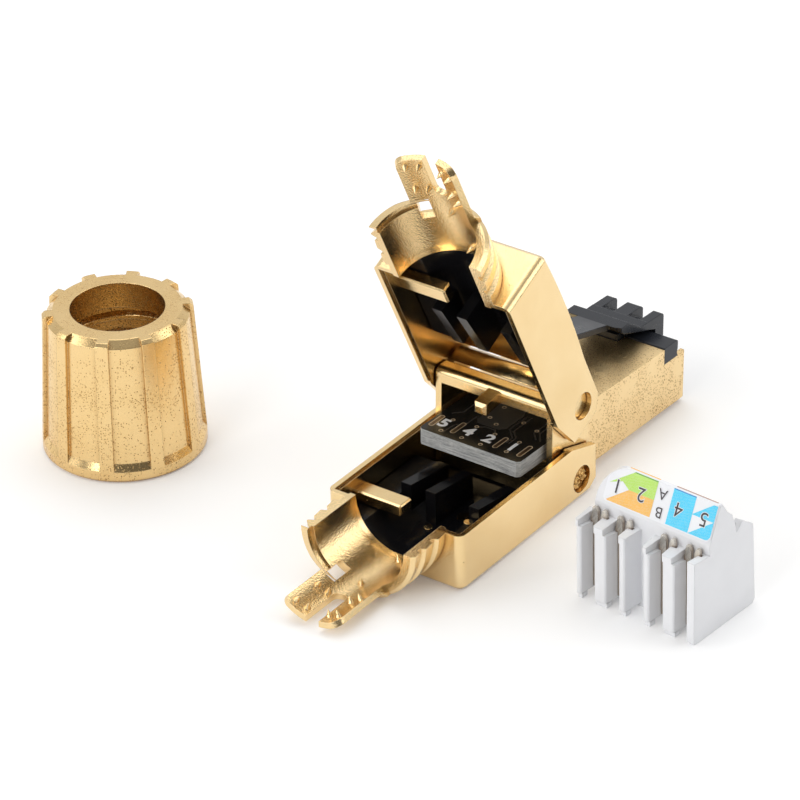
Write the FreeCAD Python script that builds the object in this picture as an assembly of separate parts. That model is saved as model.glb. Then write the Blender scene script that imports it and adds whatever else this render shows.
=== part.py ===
import FreeCAD, Part
import math
import os

from FreeCAD import Vector

# Field termination ethernet plug, shown open with its nut and wire manager beside it.
# Millimetres, +Z up, +X towards the nose. The housing, the lids, the nut and the wire
# manager are each drawn in a frame of their own and then set down as they lie.

# Hinges that join the lids to the housing
hinge_half = 3.83
hinge_boss_r = 1.30
hinge_clearance = 0.05
hinge_boss_recess = 0.55

# Length of cutting tools, longer than any piece
reach = 60.0

# How the pieces lie
nose_down = 2.3
lower_lid_open = 2.3
upper_lid_open = 62.6

# Lids
lid_half_width = 7.40
lid_side_wall = 0.75
lid_floor = 0.80
lid_rear_wall = 0.75
lid_length = 19.20
lid_corner_r = 0.80
lid_edge_r = 0.35
lid_back_start = 1.20
lower_back_front = 1.97
lower_back_rear = 1.97
lower_back_crown = 0.01
upper_back_front = 2.30
upper_back_rear = 2.60
upper_back_crown = 0.50
rim_gap = 0.02
rim_step_width = 0.25
rim_step_depth = 0.30
ear_reach = 2.30
ear_corner_rise = 1.05
ear_corner_run = 1.50
ear_relief_start = 1.55
ear_relief_drop = 1.20

# Half tube and prongs at the rear of each lid
channel_sole = 0.30
tube_wall = 0.60
collar_length = 5.60
ring_setback = 0.60
ring_round = 0.35
collar_bevel = 0.45
thread_height = 0.50
thread_pitch = 1.95
thread_turns = 3
thread_crest = 1.15
prong_length = 6.50
prong_left_angle = 43.0
prong_right_angle = 30.0
prong_gap = 1.00
prong_corner_r = 0.80
prong_tip_r = 1.00
slot_width = 1.40
slot_offset = 0.25
slot_length = 4.00
notch_width = 1.20
notch_length = 1.50
notch_angle = 23.0
tooth_r = 0.40
tooth_height = 0.75

# Bar that reaches over the liner
bar_width = 1.80
bar_height = 1.10
bar_setback = 3.10
bar_tip = 1.45
bar_gap = 0.12
bar_chamfer = 0.15

# Liners
liner_gap = 0.10
liner_front = 6.50
liner_rear_gap = 0.12
liner_top = 1.20
channel_clear = 0.06
rib_width = 1.10
rib_setback = 6.40
rib_front = 6.90
post_r = 0.42
post_clear = 0.04
post_rise = 0.12
post_setback = 5.80
post_middle = 0.40
post_right = -4.10
rib_rear_height = 2.55
rib_front_height = 1.70
rib_left = 3.20
rib_middle = 0.50
rib_right = -4.30
dimple_r = 1.30
dimple_depth = 0.35

# Housing: hinge block, rear frame and nose
block_half_width = 6.50
block_wall = 0.65
block_rear = 3.60
block_front = 2.50
block_over_hinge = 1.22
block_under_hinge = 0.97
roof_flat_end = 1.90
roof_foot = 1.20
roof_foot_top = 2.90
window_top = 3.60
bar_round = 0.70
finger_width = 1.30
finger_height = 1.20
finger_top = 4.75
finger_length = 2.40
finger_drop = 0.40
finger_chamfer = 0.28
nose_half_width = 5.84
nose_front = 19.70
nose_top = 2.15
nose_top_front = 1.92
nose_step = 0.08
nose_wall = 0.55
nose_edge_r = 0.30
notch_start = 16.05
lip_top = 0.40
blade_window_start = 12.0
blade_window_half = 4.55
support_notch_half = 1.35
support_notch_start = 14.85

# Board
board_half_width = 5.55
board_thickness = 1.60
board_rear = 7.60
board_front = 6.00
board_neck_half = 4.60
board_corner = 0.30

# Insert
insert_gap = 0.02
insert_rear = 1.20
insert_front = 19.20
cross_bar_length = 2.30
cross_bar_top = 2.10
support_top = 2.60
support_gap = 0.10
blade_pitch = 1.02
blade_thickness = 0.32
blade_slot_gap = 0.02
blade_rear = 12.80
blade_front = 18.60
blade_top = -2.30
blade_bottom = -3.80
blade_nose_r = 0.60
blade_count = 8

# Latch lever
latch_half_width = 3.10
latch_root_front = 20.05
latch_root_rear = 18.62
latch_pivot_x = 18.75
latch_pivot_z = 0.80
latch_root_r = 0.50
latch_root_clear = 0.03
latch_root_bottom = 0.45
fin_top = 3.52
fin_side = 0.95
fin_middle = 1.55
fin_slot_end = 17.30
fin_start = 16.20
fin_sunk = 0.50
fin_fall = 0.10
under_fin = 2.25
toe_bevel = 0.30
wing_cut = 0.30
fin_front_r = 0.45
plate_front_top = 2.05
shoulder_top = 4.86
shoulder_front = 14.10
shoulder_rear = 12.50
wing_low_x = 13.20
wing_low_z = 4.05
tongue_half_width = 1.62
tongue_end = 4.60
tongue_end_z = 6.80
tongue_thickness = 0.60
tongue_corner_r = 0.60

# Gland nut
nut_x = -15.30
nut_y = 34.00
nut_height = 14.45
nut_wall = 1.70
nut_taper = 0.72
nut_band = 1.15
nut_turn = 8.0
nut_panel_depth = 0.35
nut_panels = 10
nut_panel_angle = 26.0
nut_rib_chamfer = 0.30
nut_panel_bevel = 0.65
nut_panel_ramp = 0.75
nut_foot_edge = 0.25
nut_hole_inset = 0.25
nut_hole_length = 2.60
nut_run = 0.25
nut_land_slope = 0.60

# Wire manager
manager_x = -9.93
manager_y = -22.84
manager_turn = -4.0
manager_half_width = 6.70
core_end_set = 0.78
manager_half_depth = 4.50
manager_tooth_height = 8.15
core_front = 2.28
core_rear = 1.65
core_shoulder = 9.25
core_rear_shoulder = 9.90
core_rear_set = 0.28
core_end_r = 2.90
back_knee_x = 0.30
back_knee_z = 11.55
back_bump_x = 0.95
back_bump_z = 10.95
ridge_x = -0.60
ridge_z = 12.60
ridge_flat = 0.15
slot_inner = 2.40
slot_outer = 5.15
wire_slot_width = 0.95
plain_gap_half = 0.75
tooth_taper = 0.20
tooth_sunk = 0.30
tooth_lip = 0.12
lip_height = 0.70
tooth_foot = 0.45
foot_inset = 0.10
foot_length = 0.85
tooth_edge = 0.12
head_step = 0.60
head_fall = 0.35
head_set = 0.30
end_wall = 0.80
wall_front = 8.50
wall_root = 8.25
wall_notch = 8.75
wall_peak_x = 2.55
wall_peak = 9.50
wall_fall_x = 3.65
wall_fall = 8.75
wall_rear = 8.10
wall_lean = 0.35
wall_chamfer = 0.20
contact_width = 1.90
contact_thickness = 0.35
contact_setback = 0.40
contact_top = 8.85
contact_aside = 0.12
contact_bottom = 0.60
contact_slit = 0.34
contact_slit_depth = 3.60
contact_shoulder = 1.10
contact_clearance = 0.02
label_thickness = 0.10
label_left_gap = 1.55
label_right_gap = 0.12
label_drop = 3.35
label_end_gap = 0.50
label_corner_r = 0.45
label_back = 0.9
lug_length = 0.80
lug_width = 0.55
lug_drop = 0.42
lug_aside = 0.70

lid_inner_half = lid_half_width - lid_side_wall
tube_r = hinge_half + lower_back_front - lid_floor - channel_sole
tube_outer_r = tube_r + tube_wall
collar_end = lid_length + collar_length
ring_end = collar_end - ring_setback
prong_end = collar_end + prong_length
slot_start = prong_end - slot_length
bar_rear = lid_length - bar_setback
rib_rear = lid_length - rib_setback
post_x = lid_length - post_setback
block_top = hinge_half + block_over_hinge
block_bottom = hinge_half + block_under_hinge
nose_bottom = block_bottom - nose_step
nut_thread_r = tube_outer_r + thread_height + nut_run
nut_base_r = nut_thread_r + nut_wall
nut_top_r = nut_base_r - nut_taper
nut_hole_r = tube_r - nut_hole_inset
parts = {}


def box(x0, x1, y0, y1, z0, z1):
    return Part.makeBox(x1 - x0, y1 - y0, z1 - z0, Vector(x0, y0, z0))


def wire_xz(points, y):
    corners = [Vector(x, y, z) for x, z in points]
    return Part.makePolygon(corners + corners[:1])


def plate_xz(points, y0, y1):
    face = Part.Face(wire_xz(points, y0))
    return face.extrude(Vector(0, y1 - y0, 0))


def plate_xy(points, z0, z1):
    corners = [Vector(x, y, z0) for x, y in points]
    face = Part.Face(Part.makePolygon(corners + corners[:1]))
    return face.extrude(Vector(0, 0, z1 - z0))


def plate_yz(points, x0, x1):
    corners = [Vector(x0, y, z) for y, z in points]
    face = Part.Face(Part.makePolygon(corners + corners[:1]))
    return face.extrude(Vector(x1 - x0, 0, 0))


def rod_x(r, x0, x1, y=0.0, z=0.0):
    return Part.makeCylinder(r, x1 - x0, Vector(x0, y, z), Vector(1, 0, 0))


def rod_y(r, y0, y1, x=0.0, z=0.0):
    return Part.makeCylinder(r, y1 - y0, Vector(x, y0, z), Vector(0, 1, 0))


def rod_z(r, z0, z1, x=0.0, y=0.0):
    return Part.makeCylinder(r, z1 - z0, Vector(x, y, z0))


def along(edge, axis):
    ends = [v.Point for v in edge.Vertexes]
    if len(ends) < 2:
        return False
    d = ends[1].sub(ends[0])
    return d.Length > 1e-6 and abs(d.dot(axis)) / d.Length > 0.999


def round_edges(shape, radius, axis, test):
    chosen = []
    for edge in shape.Edges:
        if along(edge, axis) and test(edge.CenterOfMass):
            chosen.append(edge)
    if not chosen:
        return shape
    return shape.makeFillet(radius, chosen)


def one_solid(shape):
    solid = shape.removeSplitter()
    if len(solid.Solids) == 1:
        return solid.Solids[0]
    return solid


AX = Vector(1, 0, 0)
AY = Vector(0, 1, 0)
AZ = Vector(0, 0, 1)


def back_profile(front, rear, crown, inset, x_front, x_rear):
    # The outside of a lid's back is one shallow arc from the hinge to the rear wall.
    mid_x = 0.5 * (x_front + x_rear)
    mid_z = -(0.5 * (front + rear) + crown) + inset
    a = Vector(x_front, 0, -front + inset)
    b = Vector(mid_x, 0, mid_z)
    c = Vector(x_rear, 0, -rear + inset)
    return Part.Arc(a, b, c).toShape()


def lid_tray(front, rear, crown):
    # Side profile of the whole lid, seen with its rim up and its hinge at the origin.
    rim = hinge_half - rim_gap
    foot = ear_reach - ear_corner_run
    arc = back_profile(front, rear, crown, 0.0, -lid_back_start, -lid_length)
    ends = [Vector(-lid_length, 0, -rear), Vector(-lid_length, 0, rim)]
    ends.append(Vector(-ear_relief_start, 0, rim))
    ends.append(Vector(ear_reach, 0, rim - ear_relief_drop))
    ends.append(Vector(ear_reach, 0, -front + ear_corner_rise))
    ends.append(Vector(foot, 0, -front))
    ends.append(Vector(-lid_back_start, 0, -front))
    edges = [arc]
    for a, b in zip(ends[:-1], ends[1:]):
        edges.append(Part.makeLine(a, b))
    face = Part.Face(Part.Wire(Part.__sortEdges__(edges)))
    face.translate(Vector(0, -lid_half_width, 0))
    outer = face.extrude(Vector(0, 2 * lid_half_width, 0))
    outer = round_edges(outer, lid_corner_r, AZ, lambda p: p.x < 0.1 - lid_length)
    outer = round_long_back(outer)

    # Hollow of the tray, following the back at the floor's thickness
    x_in = lid_rear_wall - lid_length
    floor_arc = back_profile(front, rear, crown, lid_floor, -lid_back_start, x_in)
    cut = [Vector(x_in, 0, -rear + lid_floor), Vector(x_in, 0, reach)]
    cut.append(Vector(reach, 0, reach))
    cut.append(Vector(reach, 0, -reach))
    cut.append(Vector(-lid_back_start, 0, -reach))
    cut.append(Vector(-lid_back_start, 0, -front + lid_floor))
    edges = [floor_arc]
    for a, b in zip(cut[:-1], cut[1:]):
        edges.append(Part.makeLine(a, b))
    face = Part.Face(Part.Wire(Part.__sortEdges__(edges)))
    face.translate(Vector(0, -lid_inner_half, 0))
    tray = outer.cut(face.extrude(Vector(0, 2 * lid_inner_half, 0)))

    # Step along the inside of the rim
    half = lid_inner_half + rim_step_width
    step = box(x_in - rim_step_width, -ear_relief_start - lid_edge_r, -half, half,
               rim - rim_step_depth, reach)
    tray = tray.cut(step)
    hole = rod_y(hinge_boss_r + hinge_clearance, -reach, reach)
    return tray.cut(hole)


def round_long_back(outer):
    # Soft edges where the back turns into the sides and into the rear wall
    chosen = []
    for edge in outer.Edges:
        p = edge.CenterOfMass
        if edge.Length < 0.5 or p.x > -lid_back_start:
            continue
        if p.z < -lower_back_front + 0.4 and abs(p.y) > lid_half_width - lid_corner_r - 0.1:
            chosen.append(edge)
        elif p.z < -lower_back_front + 0.4 and p.x < -lid_length + 0.4 and abs(p.y) < 1:
            chosen.append(edge)
    if not chosen:
        return outer
    return outer.makeChamfer(lid_edge_r, chosen)


def sector(r_in, r_out, x0, x1, angle0, angle1):
    # Piece of a tube wall about the cable axis; angles are measured from straight down
    ring = rod_x(r_out, x0, x1, 0, hinge_half)
    ring = ring.cut(rod_x(r_in, -reach, reach, 0, hinge_half))
    far = 4 * r_out
    steps = max(2, int(math.ceil(abs(angle1 - angle0) / 40.0)))
    fan = [(0.0, hinge_half)]
    for i in range(steps + 1):
        a = math.radians(angle0 + (angle1 - angle0) * i / steps)
        fan.append((far * math.sin(a), hinge_half - far * math.cos(a)))
    return ring.common(plate_yz(fan, -reach, reach))


def thread_ridges():
    # Coarse thread turns; each is a ring leaned so that it climbs half a pitch across
    lean = math.degrees(math.atan2(0.5 * thread_pitch, 2 * tube_outer_r))
    crest = tube_outer_r + thread_height
    half = 0.5 * thread_pitch
    top = 0.5 * thread_crest
    ridges = []
    for i in range(thread_turns):
        x = -lid_length - half - 0.15 - i * thread_pitch
        profile = [(x - half * 0.95, tube_r + 0.25), (x - top, crest)]
        profile += [(x + top, crest), (x + half * 0.95, tube_r + 0.25)]
        face = Part.Face(wire_xz(profile, 0))
        ring = face.revolve(Vector(0, 0, 0), AX, 360)
        ring.rotate(Vector(x, 0, 0), AZ, lean)
        ring.translate(Vector(0, 0, hinge_half))
        ridges.append(ring)
    return ridges


def tooth(x, angle):
    # Eight-sided spike that bites into the cable sheath
    a = math.radians(angle)
    out = Vector(0, math.sin(a), -math.cos(a))
    across = Vector(0, math.cos(a), math.sin(a))
    axis = Vector(x, 0, hinge_half)
    foot = axis + out * (tube_r + 0.25 * tube_wall)
    tip = axis + out * (tube_r - tooth_height)
    ring = []
    for i in range(8):
        b = math.radians(45.0 * i)
        ring.append(foot + AX * (tooth_r * math.cos(b)) + across * (tooth_r * math.sin(b)))
    faces = [Part.Face(Part.makePolygon(ring + ring[:1]))]
    for p, q in zip(ring, ring[1:] + ring[:1]):
        faces.append(Part.Face(Part.makePolygon([p, q, tip, p])))
    return Part.Solid(Part.Shell(faces))


def ring_bevel(end, size, angle0, angle1):
    # Takes the sharp outer edge off the last thread turn where the collar ends
    crest = tube_outer_r + thread_height
    profile = [(-end - size, crest - 2 * size), (2 * size - end, crest + size)]
    profile += [(2 * size - end, 2 * crest), (-end - size, 2 * crest)]
    ring = Part.Face(wire_xz(profile, 0)).revolve(Vector(0, 0, 0), AX, 360)
    ring.translate(Vector(0, 0, hinge_half))
    side = sector(0.5 * tube_r, 2 * tube_outer_r, -reach, 0, angle0, angle1)
    return ring.common(side)


def cable_jaw():
    x_wall = lid_rear_wall - lid_length
    tube = sector(tube_r, tube_outer_r, -collar_end, x_wall, -90, 90)
    rim_cut = box(-reach, reach, -reach, reach, hinge_half - rim_gap, reach)
    jaw = tube
    for ridge in thread_ridges():
        jaw = jaw.fuse(ridge.cut(rim_cut))
    jaw = jaw.cut(rim_cut)
    # The right side stops short and leaves the thicker ring's end in view
    r0 = 0.5 * tube_r
    r1 = 2.0 * tube_outer_r
    jaw = jaw.cut(sector(r0, r1, -reach, -ring_end, -95, -prong_right_angle))
    jaw = jaw.cut(ring_bevel(ring_end, ring_round, -95, -prong_right_angle))
    jaw = jaw.cut(ring_bevel(collar_end, collar_bevel, -prong_right_angle, 95))

    # Prongs, with the gap behind the collar, the slot and the square notch
    prong_rear = -prong_end
    finger = sector(tube_r, tube_outer_r, prong_rear, notch_length - collar_end,
                    -prong_right_angle, prong_left_angle)
    for side, radius in ((-1, prong_tip_r), (1, prong_corner_r)):
        corners = []
        for edge in finger.Edges:
            p = edge.CenterOfMass
            if edge.Length < tube_wall * 1.2 and p.x < prong_rear + 0.1 and p.y * side > 0:
                corners.append(edge)
        finger = finger.makeFillet(radius, corners)
    finger = finger.cut(sector(r0, r1, -collar_end - prong_gap, -collar_end, notch_angle, 95))
    slot_y0 = slot_offset - 0.5 * slot_width
    slot_y1 = slot_offset + 0.5 * slot_width
    slot = box(-reach, -slot_start, slot_y0, slot_y1, -reach, hinge_half)
    slot = slot.fuse(rod_z(0.5 * slot_width, -reach, hinge_half, -slot_start, slot_offset))
    finger = finger.cut(slot)
    jaw = jaw.fuse(finger)
    notch_span = math.degrees(notch_width / tube_r)
    notch = sector(r0, r1, -collar_end - 0.5 * prong_gap, notch_length - collar_end,
                   notch_angle, notch_angle + notch_span)
    return jaw.cut(notch)


# Teeth: distance behind the collar's end, and angle round the cable from straight down
TEETH = [
    (2.7, 31.5), (2.6, 17.2), (5.7, 33.0), (5.6, 18.0),
    (2.1, -23.5), (2.6, -14.0), (5.3, -22.5), (5.4, -10.5),
    (-0.4, -1.0), (-5.3, -8.0),
]


def post_places():
    # Two posts that the lower liner is pressed over: in its channel and on its shoulder
    channel_top = hinge_half - tube_r - channel_clear
    return [(post_middle, channel_top + post_rise), (post_right, liner_top + post_rise)]


def lid(front, rear, crown, posts=False):
    tray = lid_tray(front, rear, crown)
    opening = rod_x(tube_r, -lid_length - lid_rear_wall, lid_rear_wall - lid_length + 0.01,
                    0, hinge_half)
    body = tray.fuse(cable_jaw()).cut(opening)
    for behind, angle in TEETH:
        body = body.fuse(tooth(-collar_end - behind, angle))
    # Bar cast on the left wall, reaching over the liner
    z0 = liner_top + bar_gap
    z1 = z0 + bar_height
    bar = box(-bar_rear, bar_width - bar_rear, bar_tip, lid_inner_half + 0.5 * lid_side_wall,
              z0, z1)
    edges = []
    for edge in bar.Edges:
        p = edge.CenterOfMass
        if abs(p.y - bar_tip) < 0.01 or (along(edge, AY) and abs(p.z - z1) < 0.01):
            edges.append(edge)
    body = body.fuse(bar.makeChamfer(bar_chamfer, edges))
    if posts:
        for y, top in post_places():
            body = body.fuse(rod_z(post_r, 0.5 * lid_floor - lower_back_front, top, -post_x, y))
    return one_solid(body)


def liner(front, rear, crown, posts=False):
    x_rear = lid_rear_wall - lid_length + liner_rear_gap
    half = lid_inner_half - liner_gap
    arc = back_profile(front, rear, crown, lid_floor, -lid_back_start,
                       lid_rear_wall - lid_length)
    # The sole follows the lid's floor; its sides stand up to the shoulder height
    top = liner_top
    under = box(x_rear, -liner_front, -half, half, -reach, top)
    keep = [Vector(lid_rear_wall - lid_length, 0, -rear + lid_floor)]
    keep += [Vector(lid_rear_wall - lid_length, 0, reach), Vector(-lid_back_start, 0, reach)]
    keep += [Vector(-lid_back_start, 0, -front + lid_floor)]
    edges = [arc]
    for a, b in zip(keep[:-1], keep[1:]):
        edges.append(Part.makeLine(a, b))
    face = Part.Face(Part.Wire(Part.__sortEdges__(edges)))
    face.translate(Vector(0, -half, 0))
    inside = face.extrude(Vector(0, 2 * half, 0))
    body = under.common(inside)
    channel = rod_x(tube_r + channel_clear, -reach, 0, 0, hinge_half)
    body = body.cut(channel)
    ribs = []
    for y in (rib_left, rib_middle, rib_right):
        foot = hinge_half - tube_r - 2 * channel_clear
        profile = [(-rib_rear, foot), (-rib_rear, rib_rear_height)]
        profile += [(-rib_front, rib_front_height), (-rib_front, foot)]
        rib = plate_xz(profile, y - 0.5 * rib_width, y + 0.5 * rib_width)
        ribs.append(rib)
    for rib in ribs:
        body = body.fuse(rib)
    dimple_y = 0.5 * (rib_middle + rib_right)
    dimple = rod_z(dimple_r, hinge_half - tube_r - dimple_depth, reach,
                   -0.5 * (rib_rear + rib_front), dimple_y)
    body = body.cut(dimple)
    if posts:
        for y, top in post_places():
            body = body.cut(rod_z(post_r + post_clear, -reach, reach, -post_x, y))
    return one_solid(body)


def housing():
    # Hinge block with its sloping roof, then the nose in front of it
    block = [(-block_rear, -block_bottom), (-block_rear, block_top)]
    block += [(-roof_flat_end, block_top), (roof_foot, roof_foot_top)]
    block += [(block_front, nose_top), (block_front, -block_bottom)]
    outer = plate_xz(block, -block_half_width, block_half_width)
    outer = round_edges(outer, bar_round, AY, lambda p: p.z > block_top - 0.1)
    nose = [(0.5 * block_front, -nose_bottom), (0.5 * block_front, nose_top)]
    nose += [(nose_front, nose_top_front), (nose_front, -nose_bottom)]
    nose_solid = plate_xz(nose, -nose_half_width, nose_half_width)
    nose_solid = round_edges(nose_solid, nose_edge_r, AX,
                             lambda p: p.z < 0 and abs(p.y) > nose_half_width - 0.1)
    nose_solid = round_edges(nose_solid, nose_edge_r, AZ,
                             lambda p: p.x > nose_front - 0.1)
    shell = outer.fuse(nose_solid)

    # Room behind the frame, with the board lying on its floor
    room = [(-reach, -0.5 * board_thickness), (-reach, window_top)]
    room += [(-roof_flat_end + 0.2, window_top), (roof_foot - 0.4, nose_top - nose_wall)]
    room += [(insert_rear + 0.01, nose_top - nose_wall), (insert_rear + 0.01, -0.5 * board_thickness)]
    inner_half = block_half_width - block_wall
    shell = shell.cut(plate_xz(room, -inner_half, inner_half))
    cavity_half = nose_half_width - nose_wall
    cavity = box(insert_rear, reach, -cavity_half, cavity_half,
                 -nose_bottom + nose_wall, nose_top_front - nose_wall)
    shell = shell.cut(cavity)

    # Open bottom over the blades, lowered sides at the front, notch under the lever
    shell = shell.cut(box(blade_window_start, reach, -blade_window_half, blade_window_half,
                          -reach, 1.2 * nose_wall - nose_bottom))
    shell = shell.cut(box(notch_start, reach, -reach, reach, lip_top, reach))
    shell = shell.cut(box(support_notch_start, reach, -support_notch_half,
                          support_notch_half, lip_top, reach))

    # Bosses that the lids turn on
    boss_end = lid_half_width - hinge_boss_recess
    for side in (-1, 1):
        for z in (-hinge_half, hinge_half):
            y0 = side * (block_half_width - 0.3)
            y1 = side * boss_end
            shell = shell.fuse(rod_y(hinge_boss_r, min(y0, y1), max(y0, y1), 0, z))

    # Finger cast on the frame's top bar, reaching back over the board
    top = finger_top
    finger = [(-block_rear + 0.4, top), (-block_rear - finger_length, top - finger_drop)]
    finger += [(-block_rear - finger_length, top - finger_drop - finger_height)]
    finger += [(-block_rear + 0.4, top - finger_height)]
    blade = plate_xz(finger, -0.5 * finger_width, 0.5 * finger_width)
    tip = -block_rear - finger_length
    chosen = [e for e in blade.Edges if abs(e.CenterOfMass.x - tip) < 0.01]
    blade = blade.makeChamfer(finger_chamfer, chosen)
    return one_solid(shell.fuse(blade))


def insert():
    half = nose_half_width - nose_wall - insert_gap
    z0 = -nose_bottom + nose_wall + insert_gap
    z1 = nose_top_front - nose_wall - insert_gap
    body = box(insert_rear + insert_gap, notch_start, -half, half, z0, z1)
    body = body.fuse(box(notch_start - 0.1, insert_front, -half, half, z0, lip_top))
    bar = box(notch_start, notch_start + cross_bar_length, -nose_half_width,
              nose_half_width, lip_top, cross_bar_top)
    bar = round_edges(bar, 0.20, AY, lambda p: p.z > cross_bar_top - 0.1)
    body = body.fuse(bar)
    support = box(support_notch_start + support_gap, notch_start + 0.5,
                  -support_notch_half + support_gap, support_notch_half - support_gap,
                  z1 - 0.5, support_top)
    body = body.fuse(support)
    pocket = box(-reach, board_front + insert_gap, -board_neck_half - insert_gap,
                 board_neck_half + insert_gap, -0.5 * board_thickness - insert_gap,
                 0.5 * board_thickness + insert_gap)
    body = body.cut(pocket)
    body = body.cut(rod_y(latch_root_r + latch_root_clear, -reach, reach,
                          latch_pivot_x, latch_pivot_z))
    slot_half = 0.5 * blade_thickness + blade_slot_gap
    for i in range(blade_count):
        y = (i - 0.5 * (blade_count - 1)) * blade_pitch
        body = body.cut(box(blade_rear - blade_slot_gap, reach, y - slot_half, y + slot_half,
                            -reach, blade_top))
    return one_solid(body)


def contact_blade(index):
    y = (index - 0.5 * (blade_count - 1)) * blade_pitch
    profile = [(blade_rear, blade_top), (blade_front, blade_top)]
    profile += [(blade_front, blade_bottom), (blade_rear + 1.2, blade_bottom)]
    profile += [(blade_rear, blade_bottom + 0.6)]
    blade = plate_xz(profile, y - 0.5 * blade_thickness, y + 0.5 * blade_thickness)
    nose = [e for e in blade.Edges
            if e.CenterOfMass.x > blade_front - 0.1 and e.CenterOfMass.z < blade_bottom + 0.1
            and along(e, AY)]
    return blade.makeChamfer(0.5 * blade_nose_r, nose)


def board():
    z0 = -0.5 * board_thickness
    c = board_corner
    w = board_half_width
    n = board_neck_half
    x0 = -board_rear
    xs = insert_rear - 0.25
    outline = [(x0 + c, -w), (xs, -w), (xs, -n), (board_front, -n)]
    outline += [(board_front, n), (xs, n), (xs, w), (x0 + c, w), (x0, w - c), (x0, c - w)]
    return plate_xy(outline, z0, z0 + board_thickness)


def latch():
    # Lever profile: root at the front, plate rising rearwards, shoulder, thin tongue
    slope = (tongue_end_z - shoulder_top) / (shoulder_rear - tongue_end)
    w = latch_half_width
    toe = latch_root_bottom
    plate = [(latch_pivot_x, toe), (latch_root_front - toe_bevel, toe)]
    plate += [(latch_root_front, toe + toe_bevel), (latch_root_front, plate_front_top)]
    plate += [(fin_slot_end, fin_top), (fin_start, fin_top), (shoulder_front, shoulder_top)]
    plate += [(shoulder_rear, shoulder_top), (wing_low_x, wing_low_z)]
    plate += [(latch_root_rear, under_fin), (latch_root_rear, latch_pivot_z)]
    wide = plate_xz(plate, -w, w)
    root = rod_y(latch_root_r, -w, w, latch_pivot_x, latch_pivot_z)
    lever = wide.fuse(root)

    # Three fins with rounded front corners
    fins = [(-w, fin_side - w), (-0.5 * fin_middle, 0.5 * fin_middle), (w - fin_side, w)]
    for y0, y1 in fins:
        fin = [(fin_start, fin_top - fin_sunk), (fin_start, fin_top)]
        fin += [(latch_root_front, fin_top - fin_fall), (latch_root_front, toe + toe_bevel)]
        fin += [(latch_root_rear, latch_pivot_z), (latch_root_rear, under_fin)]
        blade = plate_xz(fin, y0, y1)
        blade = round_edges(blade, fin_front_r, AY,
                            lambda p: p.x > latch_root_front - 0.1 and p.z > under_fin)
        lever = lever.fuse(blade)

    # Wings cut back at an angle, then the tongue
    for side in (-1, 1):
        far = side * 2 * w
        rear = 0.5 * shoulder_rear
        wedge = [(rear, far), (rear, side * tongue_half_width)]
        wedge += [(shoulder_rear - wing_cut, side * tongue_half_width)]
        wedge += [(wing_low_x + 3 * wing_cut, far)]
        lever = lever.cut(plate_xy(wedge, 0, reach))
    t = tongue_thickness
    tongue = [(shoulder_front, shoulder_top), (shoulder_rear, shoulder_top)]
    tongue += [(tongue_end, tongue_end_z), (tongue_end, tongue_end_z - t)]
    tongue += [(shoulder_rear, shoulder_top - t - 0.1 * slope), (shoulder_front, shoulder_top - t)]
    strip = plate_xz(tongue, -tongue_half_width, tongue_half_width)
    strip = round_edges(strip, tongue_corner_r, AZ, lambda p: p.x < tongue_end + 0.1)
    lever = lever.fuse(strip)
    return one_solid(lever)


def nut():
    # Cone with a plain band at the foot and ten sunken panels between flush ribs
    h = nut_height
    c = nut_rib_chamfer
    slope = (nut_base_r - nut_top_r) / (h - nut_band)
    outline = [(nut_hole_r, h), (nut_top_r - c, h), (nut_top_r + slope * c, h - c)]
    outline += [(nut_base_r, nut_band), (nut_base_r, nut_foot_edge)]
    outline += [(nut_base_r - nut_foot_edge, 0), (nut_thread_r, 0)]
    z_top = h - nut_hole_length
    z_land = z_top - (nut_thread_r - nut_hole_r) * nut_land_slope
    outline += [(nut_thread_r, z_land), (nut_hole_r, z_top)]
    points = [Vector(r, 0, z) for r, z in outline]
    face = Part.Face(Part.makePolygon(points + points[:1]))
    body = face.revolve(Vector(0, 0, 0), AZ, 360)

    # Sunken panels, following the cone and bevelled at the top
    r_low = nut_base_r - nut_panel_depth
    r_high = nut_top_r - nut_panel_depth
    bevel = nut_panel_bevel
    inner = [(r_low, nut_band + nut_panel_ramp), (nut_base_r, nut_band)]
    inner += [(2 * nut_base_r, nut_band), (2 * nut_base_r, 2 * h)]
    inner += [(r_high - bevel, 2 * h), (r_high - bevel, h), (r_high + slope * bevel, h - bevel)]
    points = [Vector(r, 0, zz) for r, zz in inner]
    skin = Part.Face(Part.makePolygon(points + points[:1]))
    skin.rotate(Vector(0, 0, 0), AZ, -0.5 * nut_panel_angle)
    panel = skin.revolve(Vector(0, 0, 0), AZ, nut_panel_angle)
    for i in range(nut_panels):
        copy = panel.copy()
        copy.rotate(Vector(0, 0, 0), AZ, 360.0 * i / nut_panels)
        body = body.cut(copy)
    return one_solid(body)


def tooth_spans():
    # Spans of the teeth across the block, from one end to the middle gap
    g = 0.5 * wire_slot_width
    return [
        (slot_outer + g, manager_half_width),
        (slot_inner + g, slot_outer - g),
        (plain_gap_half, slot_inner - g),
    ]


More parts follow.
